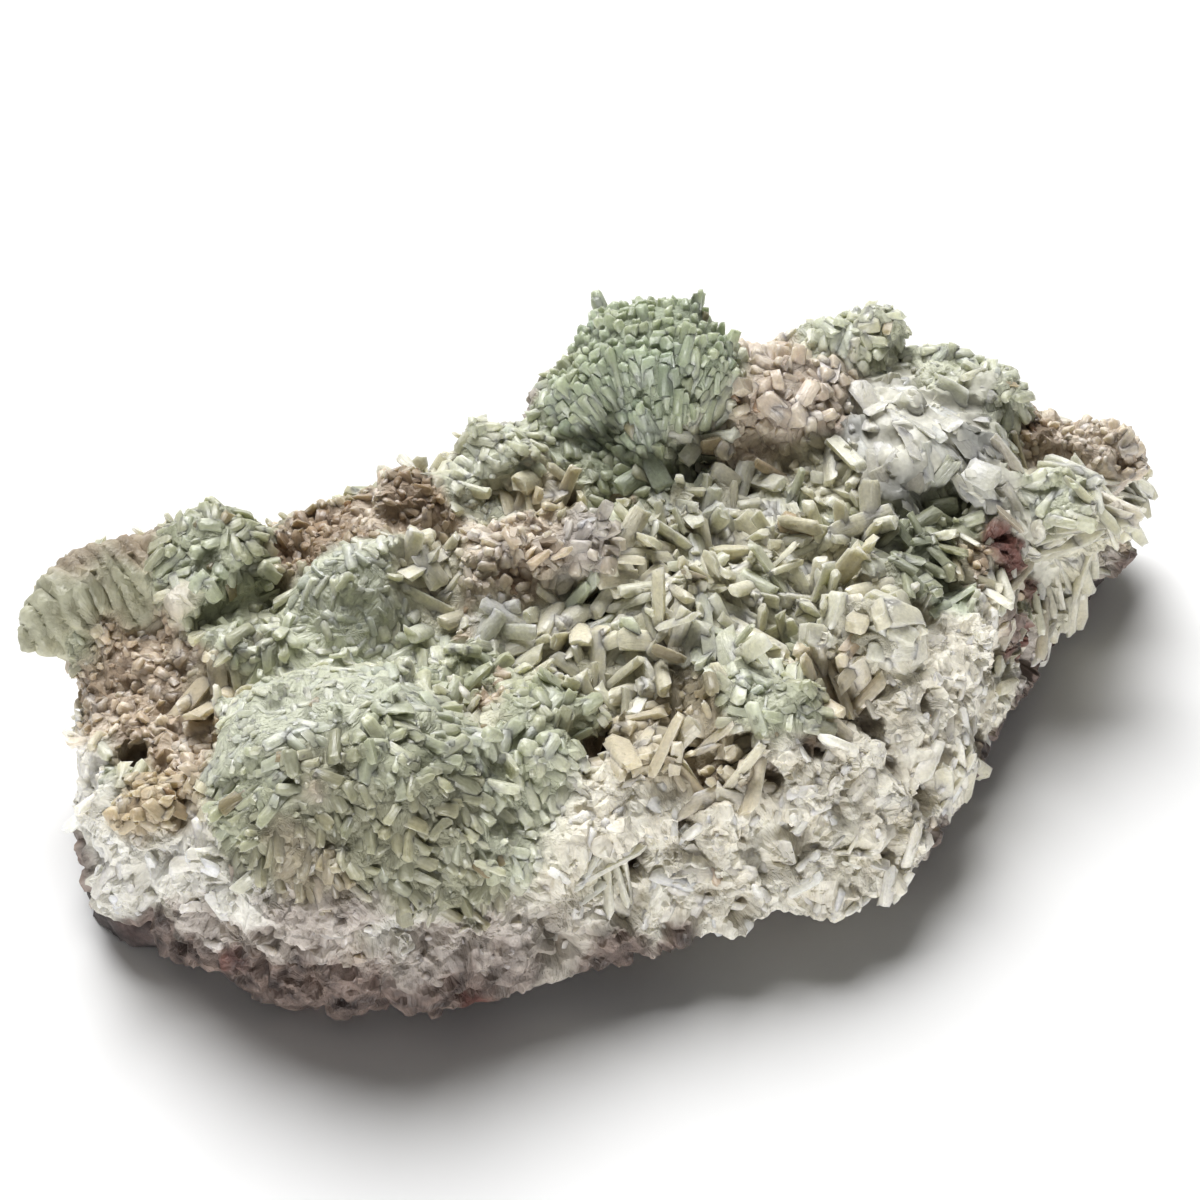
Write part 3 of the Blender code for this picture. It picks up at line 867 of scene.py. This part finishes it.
# %% Turn every crystal
SPREAD_OF_LIE = {"long": 0.14, "fibre": 0.3, "fin": 0.2, "massive": 0.25}
SHEAF_LIE = 1.8
LIE_PATCH = 5.0
DOWNHILL = {"lozenge": 2.0, "fine": 1.5}
STRAY = {"lozenge": 0.6, "fine": 0.6}
ROLL = 0.4
FAN_FOOT = np.array([9.0, 27.0, 30.0])
FIN_TOP = (1040, 455)
FIN_SET_BACK = np.array([6.0, 0.0, 3.0])
FIN_REACH = 30.0


def across(vectors, normals):
    """What is left of each vector along the surface."""
    return unit(vectors - (vectors * normals).sum(axis=1, keepdims=True) * normals)


chance = sow_dice.normal(size=(count, 3))
sheaf = np.stack([ripple(spots, LIE_PATCH, 100.0 + 20 * axis) for axis in range(3)], axis=1)
lie = chance + SHEAF_LIE * unit(sheaf)
for kind, pull in DOWNHILL.items():
    mine = covers == kind
    lie[mine] = STRAY[kind] * lie[mine] - np.array([0, 0, pull])
for kind in ("fibre", "fin", "massive"):
    mine = covers == kind
    lie[mine] = fibres[mine] + SPREAD_OF_LIE[kind] * chance[mine]
from_foot = spots - (np.array(seen_at(*FIN_TOP)) - FIN_SET_BACK)
fanned = (covers == "fin") & (np.linalg.norm(from_foot, axis=1) < FIN_REACH)
lie[fanned] = unit(from_foot[fanned]) + SPREAD_OF_LIE["fin"] * chance[fanned]
lengthways = unit(across(lie, outward) * (1 - lean[:, None]) + outward * lean[:, None])
fan = covers == "long"
lengthways[fan] = unit(unit(spots[fan] - FAN_FOOT) + SPREAD_OF_LIE["long"] * chance[fan])
flat = across(outward + ROLL * sow_dice.normal(size=(count, 3)), lengthways)
edgeways = covers == "fin"
flat[edgeways] = np.cross(flat[edgeways], lengthways[edgeways])
sideways = np.cross(flat, lengthways)
middles = spots + lengthways * (sizes[:, 0] * (0.5 - sunk))[:, None] - outward * buried[:, None]
print({cover: int((covers == cover).sum()) for cover in GROWTH})

# %% [markdown]
# ## The colour of each crystal
# A crystal takes its colour from the looks of the ground that it stands on. Neighbours are light
# or dark together, crystals that stand deep get painted shade, and about one in eighty is stained.

# %% Colour each crystal
LIGHT_SHARE = 0.6
LIGHT_SWING = 0.5
LIGHT_PATCH = 4.5
LIGHT_SPREAD = 0.13
VALUE_SPREAD = 0.045
WARM_SWING = 0.05
WARM_PATCH = 6.0
WARM_SPREAD = 0.012
WARMER = np.array([[1.0, 0.1, -1.0]])
DEEP_SHADE = 0.035
DEEP_LIMITS = (0.7, 1.03)
STAINED_SHARE = 0.012
STAIN = np.array([0.68, 0.56, 0.48])
tint_dice = np.random.default_rng(31)


def crystal_tints(picked):
    """One colour for each picked crystal, somewhere between its looks' dark and light."""
    share = LIGHT_SHARE + LIGHT_SWING * ripple(spots[picked], LIGHT_PATCH, 70.0)
    share += tint_dice.normal(0, LIGHT_SPREAD, len(picked))
    value = tint_dice.normal(1.0, VALUE_SPREAD, (len(picked), 1))
    stained = tint_dice.random(len(picked)) < STAINED_SHARE
    warm = WARM_SWING * ripple(spots[picked], WARM_PATCH, 90.0)
    warm += tint_dice.normal(0.0, WARM_SPREAD, len(picked))
    warmth = warm[:, None] * WARMER
    # painted shade: crystals that stand deep are darkened by the depth of their ground
    deep = np.clip(1 + DEEP_SHADE * depth[picked], *DEEP_LIMITS)[:, None]
    colours = mix_looks(weights[picked], share) * (value + warmth) * deep
    colours[stained] *= STAIN
    return colours


print("about", round(STAINED_SHARE * count), "crystals will be stained")

# %% [markdown]
# ## Join them into a few pieces
# Thousands of separate objects would be slow, so one or a few kinds at a time become one mesh. Its
# arrays are the single crystal's own, repeated and turned. A crystal's foot is painted darker, as
# shade, and its tip lighter, as painted light where light gets into the thin end. Edges that turn
# sharply stay crisp and the others are shaded smooth, as if worn.

# %% Build the joined meshes
CRISP_ANGLE = math.radians(64)
# painted shade at a crystal's foot and painted light at its tip
FOOT_SHADE = 0.92
TIP_SHADE = 1.06
TIP_RISE = 1.2
STRIATION = np.array([2.6, 2.6, 0.5])
STRIATION_SHIFT = 40.0


def joined(name, kinds):
    """One mesh of all crystals of some kinds."""
    all_points, all_faces, all_colours, all_felt, start = [], [], [], [], 0
    for kind in kinds:
        members = np.flatnonzero(covers == kind)
        colours = crystal_tints(members)
        for variant, (shape, faces) in enumerate(shapes[kind]):
            mine = np.arange(len(members)) % VARIANTS == variant
            picked = members[mine]
            basis = np.stack([sideways[picked], flat[picked], lengthways[picked]], axis=1)
            local = shape[None] * sizes[picked][:, None, [1, 2, 0]]
            points = middles[picked][:, None] + local @ basis
            # painted shade at the foot rising to painted light at the tip
            up = np.clip((shape[:, 2] + 0.5) * TIP_RISE, 0, 1)
            rise = FOOT_SHADE + (TIP_SHADE - FOOT_SHADE) * up
            all_points.append(points.reshape(-1, 3))
            all_colours.append((colours[mine][:, None] * rise[None, :, None]).reshape(-1, 3))
            apart = tint_dice.random((len(picked), 1, 3)) * STRIATION_SHIFT
            all_felt.append((local * STRIATION + apart).reshape(-1, 3))
            offsets = start + np.arange(len(picked)) * len(shape)
            all_faces.append((faces[None] + offsets[:, None, None]).reshape(-1, 3))
            start += len(picked) * len(shape)
    points = np.concatenate(all_points)
    points[:, 2] = np.maximum(points[:, 2], LOWEST)
    mesh = bpy.data.meshes.new(name)
    mesh.from_pydata(points * MM, [], np.concatenate(all_faces))
    mesh.shade_smooth()
    mesh.set_sharp_from_angle(angle=CRISP_ANGLE)
    store_tint(mesh, np.concatenate(all_colours))
    store_felt(mesh, np.concatenate(all_felt))
    piece = bpy.data.objects.new(name, mesh)
    scene.collection.objects.link(piece)
    print(name, len(mesh.polygons), "triangles")
    return piece


crystals = [
    joined("dome_crystals", ("lozenge",)),
    joined("silky_crystals", ("fine", "long")),
    joined("boxwork_blades", ("blade", "block")),
    joined("wall_fibres", ("fibre", "fin", "massive")),
    joined("small_grains", ("grain", "popcorn")),
]

# %% [markdown]
# ## The finish of a stone
# One function makes all three finishes. The tint attribute gives the colour, subsurface scattering
# the milkiness, and a fine noise breaks up the gloss and the faces, which are never perfectly
# flat.

# %% Write the finish of a stone
NOISE_SWING = (0.3, 0.7)
FELT_STRENGTH = 0.9
STONE_IOR = 1.62
SCATTER_REACH = (1.0, 1.0, 0.8)  # of red, green and blue light, as shares of the scatter depth


def add_noise(nodes, links, source, scale, detail):
    """Noise read at the places that the source gives."""
    made = nodes.new("ShaderNodeTexNoise")
    made.inputs["Scale"].default_value = scale
    made.inputs["Detail"].default_value = detail
    links.new(source, made.inputs["Vector"])
    return made.outputs["Fac"]


def add_range(nodes, links, source, low, high):
    """Stretches a value that swings about 0.5 to between low and high."""
    made = nodes.new("ShaderNodeMapRange")
    made.inputs["From Min"].default_value = NOISE_SWING[0]
    made.inputs["From Max"].default_value = NOISE_SWING[1]
    made.inputs["To Min"].default_value = low
    made.inputs["To Max"].default_value = high
    links.new(source, made.inputs["Value"])
    return made.outputs["Result"]


def scaled(nodes, links, source, factor):
    """A value times a factor."""
    made = nodes.new("ShaderNodeMath")
    made.operation = "MULTIPLY"
    made.inputs[1].default_value = factor
    links.new(source, made.inputs[0])
    return made.outputs["Value"]


def stone_finish(name, mottle, roughness, bump, scatter=(0, 1), felt=0.0):
    """A tinted stone: mottle and roughness are each (grain per metre, low, high).

    bump is (grain per metre, strength, depth in mm), scatter is (share, depth in mm), and felt the
    depth of bumps along the fibres.
    """
    material = bpy.data.materials.new(name)
    material.use_nodes = True
    nodes, links = material.node_tree.nodes, material.node_tree.links
    shader = nodes["Principled BSDF"]
    place = nodes.new("ShaderNodeTexCoord").outputs["Object"]
    tint = nodes.new("ShaderNodeAttribute")
    tint.attribute_name = "tint"
    mottled = nodes.new("ShaderNodeVectorMath")
    mottled.operation = "SCALE"
    links.new(tint.outputs["Color"], mottled.inputs[0])
    grains = add_noise(nodes, links, place, mottle[0], 3)
    links.new(add_range(nodes, links, grains, mottle[1], mottle[2]), mottled.inputs["Scale"])
    links.new(mottled.outputs["Vector"], shader.inputs["Base Color"])
    gloss = add_noise(nodes, links, place, roughness[0], 2)
    links.new(add_range(nodes, links, gloss, roughness[1], roughness[2]), shader.inputs["Roughness"])
    relief_node = nodes.new("ShaderNodeBump")
    links.new(scaled(nodes, links, tint.outputs["Alpha"], bump[1]), relief_node.inputs["Strength"])
    relief_node.inputs["Distance"].default_value = bump[2] * MM
    links.new(add_noise(nodes, links, place, bump[0], 2), relief_node.inputs["Height"])
    if felt:
        felt_place = nodes.new("ShaderNodeAttribute")
        felt_place.attribute_name = "felt"
        felt_bump = nodes.new("ShaderNodeBump")
        felt_strength = scaled(nodes, links, tint.outputs["Alpha"], FELT_STRENGTH)
        links.new(felt_strength, felt_bump.inputs["Strength"])
        felt_bump.inputs["Distance"].default_value = felt * MM
        felt_height = add_noise(nodes, links, felt_place.outputs["Vector"], 1.0, 3)
        links.new(felt_height, felt_bump.inputs["Height"])
        links.new(felt_bump.outputs["Normal"], relief_node.inputs["Normal"])
    links.new(relief_node.outputs["Normal"], shader.inputs["Normal"])
    shader.inputs["IOR"].default_value = STONE_IOR
    if scatter[0]:
        shader.inputs["Subsurface Weight"].default_value = scatter[0]
        shader.inputs["Subsurface Radius"].default_value = SCATTER_REACH
        shader.inputs["Subsurface Scale"].default_value = scatter[1] * MM
    print("finish:", name)
    return material


# %% [markdown]
# ## Finish the crystals
# Prehnite is milky: light enters a few millimetres and comes back soft, and the faces are waxy to
# glassy.

# %% Finish the crystals
crystal_finish = stone_finish(
    "milky crystal", (1700, 0.86, 1.1), (900, 0.26, 0.5), (2600, 0.5, 0.1), (0.7, 2.2), 0.16
)
for piece in crystals:
    piece.data.materials.append(crystal_finish)
    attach(piece, "root")

# %% [markdown]
# ## Finish the mass
# Between the crystals and on the walls the same mineral is grainy and dull, so it is rougher and
# has a stronger bump. The crystals are planted by now, so the skin of the mass no longer needs
# even faces: the ones on flat ground are merged, to keep the piece light, and its sharp folds are
# marked to stay crisp.

# %% Finish the mass
MASS_TRIANGLES = 190000
CHIP_ANGLE = math.radians(36)

thinner = mass.modifiers.new("thinner", "DECIMATE")
thinner.ratio = MASS_TRIANGLES / len(mass.data.polygons)
keep_shape(mass)
mass.data.set_sharp_from_angle(angle=CHIP_ANGLE)
print(mass.name, len(mass.data.polygons), "triangles")
mass_finish = stone_finish(
    "granular prehnite", (1100, 0.88, 1.1), (700, 0.4, 0.75), (1500, 0.7, 0.25), (0.3, 1.2), 0.9
)
mass.data.materials.append(mass_finish)
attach(mass, "root")
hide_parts("prehnite_crust")

# %% [markdown]
# ## Finish the basalt
# Basalt is dark and scatters nothing. Its skin is roughened by two layers of noise, apart from the
# flat underside that the specimen rests on, and it has reddish patches.

# %% Roughen, colour and finish the basalt
COARSE_ROUGH = 0.8
FINE_ROUGH = 0.4
FLAT_UNDER = 0.6
REDDISH_MOST = 0.6
BASALT_LIGHT = 0.25
BASALT_SWING = 0.7

basalt_points = read(basalt.data.vertices, "co") / MM
basalt_normals = read(basalt.data.vertices, "normal")
rough = COARSE_ROUGH * ripple(basalt_points, 3.0, 2.0)
rough += FINE_ROUGH * ripple(basalt_points, 1.6, 4.0)
rough[basalt_points[:, 2] < FLAT_UNDER] = 0
basalt_carved = basalt_points + basalt_normals * rough[:, None]
basalt_carved[:, 2] = np.maximum(basalt_carved[:, 2], 0)
basalt.data.vertices.foreach_set("co", (basalt_carved * MM).astype(np.float32).ravel())
basalt.data.update()
basalt_weights = np.zeros((len(basalt_points), len(LOOK_NAMES)))
reddish = np.clip(ripple(basalt_points, 7.0, 6.0), 0, REDDISH_MOST)
basalt_weights[:, LOOK_NAMES.index("basalt")] = 1 - reddish
basalt_weights[:, LOOK_NAMES.index("red stain")] = reddish
basalt_share = BASALT_LIGHT + BASALT_SWING * ripple(basalt_points, 2.4, 8.0)
store_tint(basalt.data, mix_looks(basalt_weights, basalt_share))
basalt_finish = stone_finish("dark basalt", (1300, 0.7, 1.2), (800, 0.7, 0.95), (1200, 0.9, 0.4))
basalt.data.shade_smooth()
basalt.data.materials.append(basalt_finish)
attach(basalt, "root")
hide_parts("basalt_matrix")
